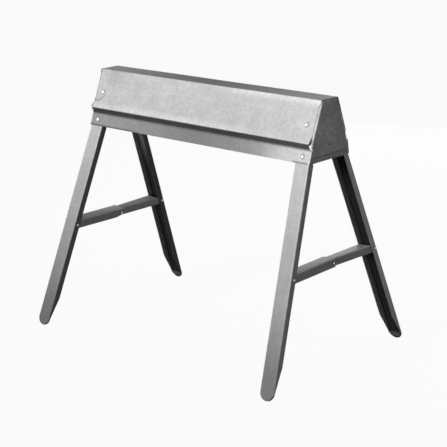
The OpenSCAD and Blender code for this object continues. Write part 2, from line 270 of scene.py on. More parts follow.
# The studio and the camera, in metres and degrees
FLOOR_HALF = 40.0
FLOOR_GREY = 0.45
FLOOR_GLOW = 1.1
FLOOR_SEEN = 0.86
WORLD_LIGHT = 0.1
WORLD_SEEN = 0.95
CAMERA_PLACE = np.array([1.9938, -2.1761, 1.1337])
CAMERA_AIM = np.array([0.0290, 0.0, 0.2763])
CAMERA_ROLL = np.radians(-0.92)
CAMERA_ANGLE = np.radians(19.51)
CAMERA_SENSOR = 36.0
CAMERA_FAR = 200.0

# Signs by which the front right-hand corner's pieces are mirrored to the other corners
ENDS = {"left": -1.0, "right": 1.0}
SIDES = {"front": 1.0, "rear": -1.0}
HANDS = (1.0, -1.0)
MIRROR = np.array([-1.0, 1.0])


def turn_x(a):
    """Turn by the angle a about x, as a 3 by 3 matrix."""
    return np.array([[1, 0, 0], [0, np.cos(a), -np.sin(a)], [0, np.sin(a), np.cos(a)]])


def turn_y(a):
    """Turn by the angle a about y, as a 3 by 3 matrix."""
    return np.array([[np.cos(a), 0, np.sin(a)], [0, 1, 0], [-np.sin(a), 0, np.cos(a)]])


LEG_TURN = turn_x(-TILT) @ turn_y(-SPLAY)
PIVOT = np.array([END_X - PIVOT_INSET, -PIVOT_Y, PIVOT_Z])
BRACE_PIVOT = np.array([0, BRACE_SEAT, -BRACE_DROP])


def from_leg(p):
    """A leg's own points (x across the web, y inwards, z up the leg from its pivot) turned by splay and
    tilt and put on the front right-hand pivot."""
    return PIVOT + p @ LEG_TURN.T


def from_brace(p):
    """A brace half's own points (y from the leg's rivets to the middle, z up) put level on the leg."""
    return from_leg(BRACE_PIVOT + p @ turn_x(TILT).T)


def to_corner(p, end, side):
    """Points of the front right-hand corner mirrored to another corner."""
    return p * np.array([end, side, 1.0])


def along_y(p):
    """Turns a shape's axis from z to y, inwards through a sheet."""
    return p @ turn_x(-np.pi / 2).T


def ramp(value, start, run):
    """Eased rise from 0 at the start to 1 a run above it: 3 t^2 - 2 t^3 of the share t of the run."""
    t = np.clip((value - start) / run, 0, 1)
    return t * t * (3 - 2 * t)


def drop(value, start, run):
    """Eased rise from 0 at the start to 1 a run below it: the ramp the other way round."""
    return ramp(-value, -start, run)


def hump(value, middle, spread):
    """Bell of height 1 about the middle: exp(-t^2) of the distance over the spread."""
    return np.exp(-((value - middle) / spread) ** 2)


def run_length(p):
    """Length along stacked lines from their first point: the sum of the steps so far."""
    return np.cumsum(np.linalg.norm(np.diff(p, axis=-2, prepend=p[..., :1, :]), axis=-1), axis=-1)


def rounded_line(corners, radius, runs, arc=6):
    """Lines with rounded corners: each corner is a circular arc, written as a rational quadratic curve
    whose weight is the sine of half the corner's angle, and straight runs join the arcs. A straight corner
    keeps a least reach, so that no points fall together. Takes a stack of lines (..., corners, 2); returns
    the points and, for each, its share in an arc, which is 1 at the arc's middle and 0 on the runs."""
    c = np.asarray(corners, float)
    at = c[..., 1:-1, :]
    back, ahead = c[..., :-2, :] - at, c[..., 2:, :] - at
    back = back / np.linalg.norm(back, axis=-1, keepdims=True)
    ahead = ahead / np.linalg.norm(ahead, axis=-1, keepdims=True)
    half = 0.5 * np.arccos(np.clip((back * ahead).sum(-1), -1, 1))[..., None]
    reach = np.maximum(np.asarray(radius, float)[..., None] / np.tan(half), LEAST_REACH)
    start, stop = at + back * reach, at + ahead * reach
    t = np.linspace(0, 1, arc + 1)[:, None]
    s, m, e = (1 - t) ** 2, 2 * t * (1 - t), t ** 2
    w = np.sin(half)[..., None, :]
    arcs = (s * start[..., None, :] + m * w * at[..., None, :] + e * stop[..., None, :]) / (s + m * w + e)
    first = np.concatenate([c[..., :1, :], stop], -2)
    then = np.concatenate([start, c[..., -1:, :]], -2)
    out, share = [], []
    for k, n in enumerate(runs):
        u = np.arange(0 if k == 0 else 1, n)[:, None] / n
        out.append(first[..., k, None, :] * (1 - u) + then[..., k, None, :] * u)
        share.append(np.zeros(len(u)))
        if k < at.shape[-2]:
            out.append(arcs[..., k, :, :])
            share.append(np.sin(np.pi * t[:, 0]))
    out.append(c[..., -1:, :])
    share.append(np.zeros(1))
    return np.concatenate(out, -2), np.concatenate(share)


def line_normals(p):
    """Normals on the left of stacked lines: the step along each line turned by a quarter."""
    d = np.gradient(p, axis=-2)
    d = d / np.maximum(np.linalg.norm(d, axis=-1, keepdims=True), LEAST_STEP)
    return np.stack([-d[..., 1], d[..., 0]], -1)


def beside(p, t):
    """A line moved to its right by t with mitred corners: each point moves along the sum of the normals of
    its two runs, over one plus their product."""
    d = np.diff(p, axis=0)
    d = d / np.linalg.norm(d, axis=-1, keepdims=True)
    n = np.stack([d[:, 1], -d[:, 0]], -1)
    a, b = np.concatenate([n[:1], n]), np.concatenate([n, n[-1:]])
    return p + t * (a + b) / (1 + (a * b).sum(-1, keepdims=True))


def skin_faces(rows, cols, ring, whole):
    """Four-cornered faces of a closed sheet of two grids, outer then inner, and of the strips along its
    free edges. A ring's rows close on themselves; a whole ring has no hole, so its first column is no free
    edge."""
    far = rows * cols
    i = np.arange(rows if ring else rows - 1)
    j = np.arange(cols - 1)
    a = i[:, None] * cols + j
    b = ((i + 1) % rows)[:, None] * cols + j
    outer = np.stack([a, b, b + 1, a + 1], -1).reshape(-1, 4)
    parts = [outer, outer[:, ::-1] + far]
    for col in (cols - 1,) if whole else (0, cols - 1):
        p, q = i * cols + col, ((i + 1) % rows) * cols + col
        parts.append(np.stack([p, q, q + far, p + far], -1))
    if not ring:
        for row in (0, rows - 1):
            p = row * cols + j
            parts.append(np.stack([p, p + 1, p + 1 + far, p + far], -1))
    return np.concatenate(parts)


class Plates:
    """Points, faces, places on the flat sheet and surface shares of one piece, gathered before they become
    a mesh. The shares are bent (1 in the middle of a bend, where a painted highlight lightens the colour;
    on the beam it also carries the other painted highlights), the painted shade share (1 where shade is
    painted dark into the colour) and wave (height of the sheet's own unevenness, in mm)."""

    def __init__(self):
        self.points, self.faces, self.flat, self.count = [], [], [], 0
        self.shares = {"bent": [], "dull": [], "wave": []}

    def add(self, points, faces, flat, **shares):
        """Adds points with their faces, places on the flat sheet and shares, which are 0 if not given."""
        self.faces.append(faces + self.count)
        self.points.append(points)
        self.flat.append(flat)
        for word, column in self.shares.items():
            column.append(np.ravel(shares.get(word, np.zeros(len(points)))))
        self.count += len(points)

    def sheet(self, outer, inner, flat, bent, dull=0.0, wave=0.0, inside=1.0, ring=False, whole=False):
        """Adds a sheet with two faces: grids (rows, columns, 3) of its outer face and of its inner one,
        which takes painted shade by the inside share."""
        rows, cols = outer.shape[:2]
        both = np.concatenate([outer.reshape(-1, 3), inner.reshape(-1, 3)])
        bent, dull, wave, inside = (np.broadcast_to(v, (rows, cols)) for v in (bent, dull, wave, inside))
        self.add(both, skin_faces(rows, cols, ring, whole), np.tile(flat.reshape(-1, 2), (2, 1)),
                 bent=np.stack([bent, bent]), dull=np.stack([dull, inside]),
                 wave=np.stack([wave, np.zeros_like(wave)]))

    def turned(self, profile, place):
        """Adds a turned shape: a profile (radius, height, share of painted shade) carried round its axis
        and placed.
        """
        n = len(profile)
        a = (np.arange(TURN_STEPS) / TURN_STEPS * 2 * np.pi)[:, None]
        r, h = profile[None, :, 0], profile[None, :, 1]
        p = np.stack([r * np.cos(a), r * np.sin(a), np.broadcast_to(h, (TURN_STEPS, n))], -1).reshape(-1, 3)
        i, j = np.arange(TURN_STEPS)[:, None], np.arange(n - 1)
        k, m = i * n + j, ((i + 1) % TURN_STEPS) * n + j
        faces = np.stack([k, m, m + 1, k + 1], -1).reshape(-1, 4)
        self.add(place(p), faces, p[:, :2].copy(), dull=np.tile(profile[:, 2], TURN_STEPS))

    def piece(self, name, body, slot, nodes):
        """Makes the mesh, in metres, with its slot's finish: doubled points merged, faces turned outwards
        and smooth, and edges over the sharp angle kept sharp."""
        points = np.concatenate(self.points) * MM
        faces = np.concatenate(self.faces)
        flat = np.concatenate(self.flat) * MM
        mesh = bpy.data.meshes.new(name)
        mesh.vertices.add(len(points))
        mesh.vertices.foreach_set("co", points.astype(np.float32).ravel())
        mesh.loops.add(faces.size)
        mesh.loops.foreach_set("vertex_index", faces.astype(np.int32).ravel())
        mesh.polygons.add(len(faces))
        mesh.polygons.foreach_set("loop_start", np.arange(0, faces.size, 4, dtype=np.int32))
        mesh.update(calc_edges=True)
        uv = flat[faces.ravel()].astype(np.float32)
        mesh.uv_layers.new(name="flat").data.foreach_set("uv", uv.ravel())
        for word, column in self.shares.items():
            values = np.concatenate(column).astype(np.float32)
            mesh.attributes.new(word, "FLOAT", "POINT").data.foreach_set("value", values)
        bm = bmesh.new()
        bm.from_mesh(mesh)
        bmesh.ops.remove_doubles(bm, verts=bm.verts, dist=MERGE_METRES)
        bmesh.ops.dissolve_degenerate(bm, edges=bm.edges, dist=THIN_METRES)
        bmesh.ops.recalc_face_normals(bm, faces=bm.faces)
        bm.to_mesh(mesh)
        bm.free()
        mesh.polygons.foreach_set("use_smooth", np.ones(len(mesh.polygons), dtype=bool))
        mesh.set_sharp_from_angle(angle=SHARP)
        mesh.validate()
        mesh.materials.append(FINISH[slot])
        obj = bpy.data.objects.new(name, mesh)
        bpy.context.scene.collection.objects.link(obj)
        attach(obj, body)
        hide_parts(*nodes)


def zinc(name, tone, rough, metal, streak, mottle, highlight_gain, spangle, shine=PLAIN_SHINE):
    """Zinc-coated steel on the piece's flat-sheet map, in metres. The colour is the tone, times drawn-out
    streaks along the sheet, cloudy patches of the coating and crystal flakes, lighter by the bent share as a
    painted highlight and darker by the share of painted shade, which also makes it rougher and less
    metallic; the same patches vary the gloss, and fine drawn lines and the sheet's own unevenness make the
    bump."""
    mat = bpy.data.materials.new(name)
    mat.use_nodes = True
    nodes, links = mat.node_tree.nodes, mat.node_tree.links
    shader = nodes["Principled BSDF"]
    shader.inputs["Specular IOR Level"].default_value = shine
    flat = nodes.new("ShaderNodeUVMap")
    flat.uv_map = "flat"
    place = nodes.new("ShaderNodeTexCoord")

    def share(word):
        attribute = nodes.new("ShaderNodeAttribute")
        attribute.attribute_name = word
        return attribute.outputs["Fac"]

    def noise(source, waves, detail, rough_share):
        stretch = nodes.new("ShaderNodeMapping")
        stretch.inputs["Scale"].default_value = waves
        links.new(source, stretch.inputs["Vector"])
        tex = nodes.new("ShaderNodeTexNoise")
        tex.inputs["Scale"].default_value = 1.0
        tex.inputs["Detail"].default_value = detail
        tex.inputs["Roughness"].default_value = rough_share
        links.new(stretch.outputs[0], tex.inputs["Vector"])
        return tex.outputs["Fac"]

    def between(value, low, high, start=0.3, stop=0.7):
        span = nodes.new("ShaderNodeMapRange")
        for word, number in (("From Min", start), ("From Max", stop), ("To Min", low), ("To Max", high)):
            span.inputs[word].default_value = number
        links.new(value, span.inputs["Value"])
        return span.outputs[0]

    def by_share(word, low, high):
        return between(share(word), low, high, 0.0, 1.0)

    def both(operation, a, b):
        sum_or_product = nodes.new("ShaderNodeMath")
        sum_or_product.operation = operation
        links.new(a, sum_or_product.inputs[0])
        links.new(b, sum_or_product.inputs[1])
        return sum_or_product.outputs[0]

    lines = noise(flat.outputs[0], LINE_WAVES, detail=5.0, rough_share=0.6)
    clouds = noise(place.outputs["Object"], CLOUD_WAVES, detail=4.0, rough_share=0.55)
    specks = noise(place.outputs["Object"], SPECK_WAVES, detail=3.0, rough_share=0.6)
    flakes = nodes.new("ShaderNodeTexVoronoi")
    flakes.inputs["Scale"].default_value = FLAKE_WAVES
    links.new(place.outputs["Object"], flakes.inputs["Vector"])
    grey = nodes.new("ShaderNodeSeparateColor")
    links.new(flakes.outputs["Color"], grey.inputs[0])
    fine = SPECK_SHARE * mottle
    level = both("MULTIPLY", between(lines, 1 - streak, 1 + streak), between(clouds, 1 - mottle, 1 + mottle))
    level = both("MULTIPLY", level, between(specks, 1 - fine, 1 + fine))
    level = both("MULTIPLY", level, between(grey.outputs[0], 1 - spangle, 1 + spangle))
    # Painted highlight: the bent share lightens the tone
    level = both("MULTIPLY", level, by_share("bent", 1.0, 1.0 + highlight_gain))
    # Painted shade: its share darkens the tone
    level = both("MULTIPLY", level, by_share("dull", 1.0, SHADED_TONE))
    paint = nodes.new("ShaderNodeVectorMath")
    paint.operation = "SCALE"
    paint.inputs[0].default_value = (tone, tone + BLUE_STEP, tone + 2 * BLUE_STEP)
    links.new(level, paint.inputs["Scale"])
    links.new(paint.outputs[0], shader.inputs["Base Color"])
    patchy = between(clouds, rough - GLOSS_SPREAD, rough + GLOSS_SPREAD)
    links.new(both("ADD", patchy, by_share("dull", 0.0, SHADED_ROUGH)), shader.inputs["Roughness"])
    links.new(by_share("dull", metal, 0.0), shader.inputs["Metallic"])
    uneven = nodes.new("ShaderNodeBump")
    uneven.inputs["Strength"].default_value = 1.0
    uneven.inputs["Distance"].default_value = MM
    links.new(share("wave"), uneven.inputs["Height"])
    bump = nodes.new("ShaderNodeBump")
    bump.inputs["Strength"].default_value = LINE_BUMP
    bump.inputs["Distance"].default_value = LINE_BUMP_METRES
    links.new(lines, bump.inputs["Height"])
    links.new(uneven.outputs[0], bump.inputs["Normal"])
    links.new(bump.outputs[0], shader.inputs["Normal"])
    return mat


FINISH = {
    "beam_steel": zinc("zinc_beam", tone=0.585, rough=0.42, metal=0.06, streak=0.05, mottle=0.09, highlight_gain=0.36,
                       spangle=0.04),
    "cap_steel": zinc("zinc_cap", tone=0.46, rough=0.45, metal=0.08, streak=0.08, mottle=0.26, highlight_gain=1.0,
                      spangle=0.03),
    "leg_steel": zinc("zinc_leg", tone=0.585, rough=0.38, metal=0.08, streak=0.06, mottle=0.05, highlight_gain=0.25,
                      spangle=0.03, shine=LEG_SHINE),
    "brace_steel": zinc("zinc_brace", tone=0.56, rough=0.45, metal=0.08, streak=0.06, mottle=0.08, highlight_gain=0.6,
                        spangle=0.03),
    "rivet_steel": zinc("zinc_rivet", tone=0.80, rough=0.24, metal=0.7, streak=0.03, mottle=0.04, highlight_gain=0.0,
                        spangle=0.02),
}


def beam_stations():
    """Stations along x, close together at both ends; with, at each, the share by which the sides are drawn
    in (1 on the cap, eased to 0 over the run) and the height of the crease, which follows a superellipse
    round the cap rivet."""
    edge_zone, draw_zone = 12.0, DRAW_HOLD + DRAW_RUN + 6
    plain_half = END_X - draw_zone - 6
    near = END_X - np.concatenate([np.linspace(0, edge_zone, 9), np.linspace(edge_zone + 2, draw_zone, 30)])
    x = np.unique(np.concatenate([-near, near, np.linspace(-plain_half, plain_half, 55)]))
    e = END_X - np.abs(x)
    deep = np.clip(1 - (e / CREASE_LONG) ** CREASE_POWER, CREASE_LEAST, 1) ** (1 / CREASE_POWER)
    return x, 1 - ramp(e, DRAW_HOLD, DRAW_RUN), CREASE_TOP - CREASE_DEEP * deep


def beam_section(draw, fold_z):
    """Rounded section lines of the beam, one for each station, from the rear flange over the top to the
    front one: the crease's point slides from the flat side to the drawn-in side by the eased share. Returns
    the outer lines, their outward normals and the share in a bend."""
    one = np.ones_like(draw)

    def half(share):
        slope = (SHOULDER_WIDTH - TOP_WIDTH) / 2 / SHOULDER_DROP - share * draw * DRAW_DEPTH / DRAW_DROP
        fold = TOP_WIDTH / 2 + (TOP - fold_z) * slope
        y = [TOP_WIDTH / 2 * one, fold, SHOULDER_WIDTH / 2 * one, NECK_WIDTH / 2 * one, LIP * one]
        z = [TOP * one, fold_z, SHOULDER_Z * one, NECK_Z * one, FLANGE_Z * one]
        return np.stack([np.stack(y, 1), np.stack(z, 1)], -1)

    corners = np.concatenate([half(REAR_DRAW)[:, ::-1], half(1.0) * MIRROR], 1)
    side = [BEND, BEND, CREASE_BEND, BEND]
    line, bent = rounded_line(corners, np.array(side + side[::-1]), [6, 5, 8, 20, 10, 20, 8, 5, 6])
    normal = line_normals(line)
    return line, np.sign(normal[:, line.shape[1] // 2, 1])[:, None, None] * normal, bent


def beam_painted_light(long, y, z, draw, fold_z, bent):
    """Shares of painted highlight and painted shade on the beam's outer face. Each painted mark is its share
    times eased ramps along the beam, in mm from its middle or from an end, and up its section."""
    front = y < -TOP_WIDTH / 2
    flange = drop(z, NECK_Z, 4)
    from_left, from_right = END_X + long, END_X - long

    # Painted shade under the shoulder, over the jog strip, a little lighter towards the right
    jog = drop(z, SHOULDER_Z - 1.2, 2) * ramp(z, NECK_Z - 2.5, 2)
    under = (JOG_SHADE - JOG_FADE * ramp(long, 100, 200)) * jog
    # Painted shade in the crease of the drawn-in left end
    crease = CREASE_SHADE * (long < 0) * draw * front * (np.abs(z - fold_z) < 1.0)
    # Painted shadow along the front side's left end edge, above the shoulder
    rim = RIM_SHADE * (1 - ramp(from_left, SETBACK, 4)) * front * (z > SHOULDER_Z)
    # Painted shadow line along the flange's lower edge, near the left end and, stronger, near the right leg
    by_pivots = 1 - ramp(from_left, 110, 80) + EDGE_RIGHT * drop(from_right, 50, 8) * ramp(from_right, 2, 6)
    lower = EDGE_SHADOW * drop(z, FLANGE_Z + 2.2, 1.5) * by_pivots
    # Painted shade on the top face, darker about the middle and less towards the right end
    top_shade = TOP_SHADE + TOP_MIDDLE_SHADE * hump(long, -20, 240) - TOP_RIGHT_FADE * ramp(long, 150, 150)
    # Painted shade on the lower flange, fading out towards the right end and deepest about the middle
    flange_shade = FLANGE_SHADE * (1 - ramp(long, 160, 120)) + FLANGE_MIDDLE_SHADE * hump(long, 0, 150)
    # Painted shadow of the drawn-in end, high on the front side near the left end
    draw_shadow = DRAW_SHADOW * hump(from_left, 60, 38) * ramp(z, TOP - 42, 18) * front
    dull = under + flange_shade * flange + crease + rim + lower + top_shade * (z > TOP - 1) + draw_shadow

    # Painted highlights below the crease, above the shoulder, under the top and at the flange's right end
    flare = FLARE_BRIGHT * draw * drop(z, fold_z + 1, 3) * ramp(z, SHOULDER_Z - 2, 3)
    row = ROW_BRIGHT * drop(z, SHOULDER_Z + 13, 8) * ramp(z, SHOULDER_Z - 1, 1.5) * front
    row = row * (1 - ROW_FADE * ramp(long, 20, 180))
    glint = GLINT_BRIGHT * ramp(z, TOP - 16, 12) * ramp(long, -40, 240) * front
    at_end = FLANGE_BRIGHT * flange * drop(from_right, 140, 90)
    bright = bent * (z > SHOULDER_Z - 1) + at_end + flare + row + glint
    return np.clip(bright, 0, 1), np.clip(dull, 0, 1)


def beam_skin():
    """The folded beam: its section lines carried along the stations, with the sides cut back at both ends,
    and pushed along their normals by dimples under the cap rivets, which are bells, and by slight waves,
    which are a product of sines."""
    x, draw, fold_z = beam_stations()
    line, outward, bent = beam_section(draw, fold_z)
    x, draw, fold_z = x[:, None], draw[:, None], fold_z[:, None]
    y, z = line[..., 0], line[..., 1]
    right, left, rear = (np.interp(z[0], CUT_HEIGHTS, cut) for cut in (RIGHT_CUT, LEFT_CUT, REAR_CUT))
    long = x * (1 - np.where(y[0] < 0, np.where(x > 0, right, left), rear) / END_X)
    from_rivet = np.hypot(np.abs(long) - END_X + CAP_RIVET_INSET, z - TOP + CAP_RIVET_DROP)
    depth = np.where(y < 0, FRONT_DIMPLE, REAR_DIMPLE) * (np.abs(y) > TOP_WIDTH / 2)
    waves = np.sin(long / SWAY_LONG + SWAY_START) * np.sin((z - DRAW_Z) / SWAY_HIGH)
    sway = SWAY * waves * (z > DRAW_Z) * (1 - draw)
    push = (sway - hump(from_rivet, 0, DIMPLE_SPREAD) * depth)[..., None] * outward
    outer, inner = (np.concatenate([long[..., None], s + push], -1) for s in (line, line - SHEET * outward))
    flat = np.stack([long, np.broadcast_to(run_length(line[len(x) // 2]), long.shape)], -1)
    # Painted highlights and painted shade of the outer face
    bright, dull = beam_painted_light(long, y, z, draw, fold_z, bent)
    bow = -FLANGE_BOW * np.clip((NECK_Z - z) / FLANGE_DROP, 0, 1) * (1 - ramp(np.abs(x), BOW_HALF, BOW_HALF))
    plates = Plates()
    plates.sheet(outer, inner, flat, bright, dull=dull, wave=bow)
    plates.piece("beam_skin", "beam", "beam_steel", ["beam_shell"])


def pan(plates, outline, bend, height, sheet, place, dull, inside=1.0, steps=PLATE_STEPS, whole=False):
    """Adds a pressed pan. Its outline is an edge line, the directions away from the pan along it, and a
    centre line; rows run round the edge, and columns run from the centre line over the flat plate, round
    the bend, which is a quarter circle, and up the wall, which stands to each row's own height. Points are
    (across, depth, up), with the plate's outer face at depth 0. A whole pan has no hole at its centre line.
    The painted shade of the outer face and of the inner face (the inside share) is given for the columns of
    the plate, the bend and the wall, and each bend takes a painted highlight by its share in the bend."""
    edge, away, centre = outline
    r = np.maximum(bend, LEAST_BEND)
    rise = np.maximum(height, r + LEAST_BEND)
    stop = edge - away * r[:, None]

    def face(inset):
        u = np.linspace(0, 1, steps)[:, None]
        plate = centre[:, None] * (1 - u) + stop[:, None] * u
        small = np.maximum(r - inset, 0.0)[:, None]
        q = np.linspace(0, np.pi / 2, BEND_STEPS)
        turn = stop[:, None] + away[:, None] * (small * np.sin(q))[..., None]
        wall = np.broadcast_to((stop + away * small)[:, None], (len(edge), WALL_STEPS, 2))
        up = np.linspace(0, 1, WALL_STEPS + 1)[1:]
        on_turn = r[:, None] - small * np.cos(q)
        on_wall = r[:, None] + (rise - r)[:, None] * up
        depth = np.concatenate([np.full(plate.shape[:2], inset), on_turn, on_wall], 1)
        flat = np.concatenate([plate, turn, wall], 1)
        return np.stack([flat[..., 0], depth, flat[..., 1]], -1)

    outer, inner = face(0.0), face(sheet)
    bent = np.zeros(outer.shape[:2])
    arc = np.sin(np.linspace(0, np.pi, BEND_STEPS))
    # Painted highlight along each bend, full once the bend's radius reaches FULL_BEND
    bent[:, steps:steps + BEND_STEPS] = arc * np.clip(bend / FULL_BEND, 0, 1)[:, None]
    hand = np.where(outer[..., 0] < 0, -1, 1)
    flat = np.stack([outer[..., 2], hand * run_length(outer) + outer[:, :1, 0]], -1)
    plates.sheet(place(outer), place(inner), flat, bent, dull=dull, inside=inside, ring=True, whole=whole)


def leg_outline():
    """A leg's stadium outline, with closer points along its top and its foot: two half circles about the
    pivot and the foot's centre, joined by straight runs. Returns the edge, the directions away from the
    middle line, and that line."""
    zone, step = 60.0, 6.0
    s = np.concatenate([np.linspace(0, zone, 20), np.linspace(zone + step, LEG_RUN - zone - 2 * step, 30),
                        np.linspace(LEG_RUN - zone - step, LEG_RUN, 20)])[1:-1]
    a = np.linspace(0, np.pi, 33)
    wall = np.full_like(s, LEG_ROUND)
    across = np.concatenate([LEG_ROUND * np.cos(a), -wall, -LEG_ROUND * np.cos(a), wall])
    up = np.concatenate([LEG_ROUND * np.sin(a), -s, -LEG_RUN - LEG_ROUND * np.sin(a), -s[::-1]])
    edge = np.stack([across, up], -1)
    centre = np.stack([np.zeros_like(up), np.clip(up, -LEG_RUN, 0)], -1)
    return edge, (edge - centre) / LEG_ROUND, centre


def leg_painted_shade(corner, end, across, up):
    """Shares of painted shade on a leg's outer and inner face, by the columns on its plate with half the
    bend, on the rest of the bend and on the wall. Outside, the walls take the corner's painted shade,
    painted shade grows towards the foot, and the foot's lip is darkened. Inside, the face is painted dark,
    less on the left wall, which is painted as lit, at the channel's upper end, and in the foot's dish, which
    takes a painted highlight."""
    columns = [PLATE_STEPS + BEND_STEPS // 2, BEND_STEPS - BEND_STEPS // 2, WALL_STEPS]
    by_bend, by_edge, lighter = LEG_SHADE[corner]
    # Painted shade on the walls, by the corner
    wall = np.repeat([0.0, by_bend, by_edge], columns)
    # Painted shade growing over the lowest third of the leg towards the foot
    low_shade = LOW_SHADE * drop(up, -LOW_SHADE_FROM * LEG_RUN, (1 - LOW_SHADE_FROM) * LEG_RUN)
    foot = np.repeat([0.0, FOOT_DULL, FOOT_DULL], columns) * drop(up, -LEG_RUN, 6)
    outer_shade = np.maximum(np.maximum(wall, low_shade), foot)
    # Inside: painted shade, less where the left wall is painted as lit, at the channel's top and in the
    # foot's dish
    on_bend = np.linspace(0.2, 0.8, columns[1])
    lit = np.concatenate([np.zeros(columns[0]), on_bend, np.full(WALL_STEPS, LIT_INSIDE)])
    lit = lit * (across * end < -LEG_ROUND / 2)
    high = lighter * (1 - drop(up, -30, 150))
    dish_light = np.repeat([0.0, DISH_LIGHT, 0.0], [2, 6, sum(columns) - 8]) * drop(up, -LEG_RUN, 14)
    return outer_shade, 1 - np.maximum(np.maximum(lit, high), dish_light)


def leg_sheet(corner, end, side):
    """A leg: a pan round the stadium outline, whose walls rise from nothing at the round top to the
    flanges' full depth, and fall again to the lip that runs round the foot."""
    outline = leg_outline()
    across, up = outline[0].T
    full = LEG_DEPTH + RISE_MARGIN
    top = LEG_SHEET + (full - LEG_SHEET) * np.clip(-up / LEG_RISE, 0, 1)
    foot = FOOT_LIP + (full - FOOT_LIP) * np.clip((up + LEG_RUN) / FOOT_TAPER, 0, 1)
    height = np.minimum(np.minimum(top, foot), LEG_DEPTH)
    bend = np.minimum(LEG_BEND, np.maximum(height - LEG_SHEET, 0.0))
    # Painted shade of the outer face and of the inner one
    outer_shade, inside = leg_painted_shade(corner, end, across[:, None], up[:, None])

    def place(p):
        return to_corner(from_leg(p + np.array([0, LEG_FACE, 0])), end, side)

    plates = Plates()
    pan(plates, outline, bend, height, LEG_SHEET, place, outer_shade, inside, whole=True)
    plates.piece(f"{corner}_leg_sheet", f"{corner}_leg", "leg_steel", [f"{corner}_leg"])


def cap_outline():
    """A cap's outline inside the shell, from the rear foot over the top to the front foot and back along
    the hem: the section's corners moved in by the sheet and the seat's gap, and rounded. The front side has
    an ear and a nip at the neck, and the rear side runs straighter. Returns the edge, the directions away
    from the cap, and the front foot."""
    upper = [[TOP_WIDTH / 2, TOP], [FOLD_HALF, DRAW_Z], [CAP_EAR, NECK_Z + CAP_EAR_RISE]]
    front = np.array(upper + [[NECK_WIDTH / 2, NECK_Z - CAP_NECK_FALL], [LIP, FLANGE_Z]])
    rear = np.array(upper + [[(CAP_EAR + LIP) / 2, (NECK_Z + FLANGE_Z) / 2], [LIP, FLANGE_Z]])
    corners = beside(np.concatenate([rear[::-1] * MIRROR, front]), SHEET + SEAT_GAP)
    hem_z = FLANGE_Z + HEM_GAP / 2 + SHEET
    base = np.array([corners[-1, 0] - (hem_z - corners[-1, 1]) * np.tan(TILT), hem_z])
    corners[0] = base * MIRROR
    corners[-1] = base
    rear_rounds = [CAP_EAR_ROUND, CAP_REAR_ROUND, CAP_FOLD_ROUND, CAP_CORNER]
    front_rounds = [CAP_CORNER, CAP_FOLD_ROUND, CAP_EAR_ROUND, CAP_NECK_ROUND]
    runs = [6, 6, 14, 34, 14, 34, 14, 4, 8]
    line, _ = rounded_line(corners, np.array(rear_rounds + front_rounds), runs, arc=8)
    foot_y = np.linspace(base[0], -base[0], 30)[1:-1]
    foot = np.stack([foot_y, np.full_like(foot_y, hem_z)], -1)
    n = line_normals(line)
    n = n * np.sign((n * (line - np.array([0, CAP_MIDDLE]))).sum(-1, keepdims=True))
    return np.concatenate([line, foot]), np.concatenate([n, np.broadcast_to([0.0, -1.0], foot.shape)]), base


def cap_hem(plates, end, base):
    """Adds a cap's hem: a line down the outside and round a half circle to the plate's foot, carried
    straight across."""
    mid = HEM_GAP / 2 + SHEET / 2
    out = HEM_GAP / 2 + mid
    bow = np.linspace(0, np.pi, 13)
    fold = np.stack([HEM_GAP / 2 + mid * np.cos(bow), -mid * np.sin(bow)], -1)
    hem = np.concatenate([[[out, HEM_HEIGHT], [out, HEM_HEIGHT / 2]], fold])
    thick = line_normals(hem) * SHEET / 2
    y = np.linspace(-1, 1, 40) * (base[0] - HEM_INSET)

    def carried(profile):
        p = np.broadcast_to(profile, (len(y),) + profile.shape)
        along = np.broadcast_to(y[:, None], p.shape[:2])
        return np.stack([end * (END_X + p[..., 0]), along, base[1] + p[..., 1]], -1)

    flat = np.stack(np.broadcast_arrays(y[:, None], np.linspace(0, HEM_FLAT, len(hem))), -1)
    # Painted highlight round the hem's fold, and painted shade over the whole hem
    bent = HEM_BENT * np.concatenate([[0, 0], np.sin(bow)])
    plates.sheet(carried(hem + thick), carried(hem - thick), flat, bent, dull=HEM_SHADE)


def cap_sheet(word, end):
    """An end cap: a pan round its outline with a plate pierced by a small hole, side and top flanges turned
    inwards, whose lower corners are rounded by a circle, and a hem along the lower edge."""
    edge, away, base = cap_outline()
    z = edge[:, 1]
    top = TOP - SHEET - SEAT_GAP
    hole = np.array([0, FLANGE_Z + CAP_HOLE_RISE])
    to_hole = edge - hole
    centre = hole + CAP_HOLE / 2 * to_hole / np.linalg.norm(to_hole, axis=-1, keepdims=True)
    foot_z = NECK_Z + CAP_FOOT_RISE
    bend = np.where(z > foot_z, CAP_BEND + CAP_BEND_MORE * drop(z, top - 8, 12), 0.0)
    bend = bend * ramp(away[:, 1], -0.25, 0.35)
    above = np.clip(z - foot_z - CAP_FLANGE_RISE, 0, None)
    dip = np.clip(CAP_FOOT_ROUND - above, 0, None)
    flange = CAP_REACH - CAP_FOOT_ROUND + np.sqrt(CAP_FOOT_ROUND ** 2 - dip ** 2)
    flange = flange + (CAP_TOP_REACH - CAP_REACH) * ramp(z, top - CAP_CORNER, CAP_CORNER)
    reach = np.where(above > 0, flange, bend)
    bend_half = (BEND_STEPS + 1) // 2
    columns = [CAP_PLATE_STEPS + bend_half, BEND_STEPS - bend_half + WALL_STEPS]
    # Painted shadow under the top sheet's end: the cap's top bend and flange darkened
    dull = ramp(z, top - 2, 1)[:, None] * np.repeat([0.0, 1.0], columns)

    def place(p):
        return np.stack([end * (END_X - p[..., 1]), -p[..., 0], p[..., 2]], -1)

    plates = Plates()
    pan(plates, (edge, away, centre), bend, reach, SHEET, place, dull, steps=CAP_PLATE_STEPS)
    cap_hem(plates, end, base)
    plates.piece(f"{word}_cap_sheet", "beam", "cap_steel", [f"{word}_end_cap"])


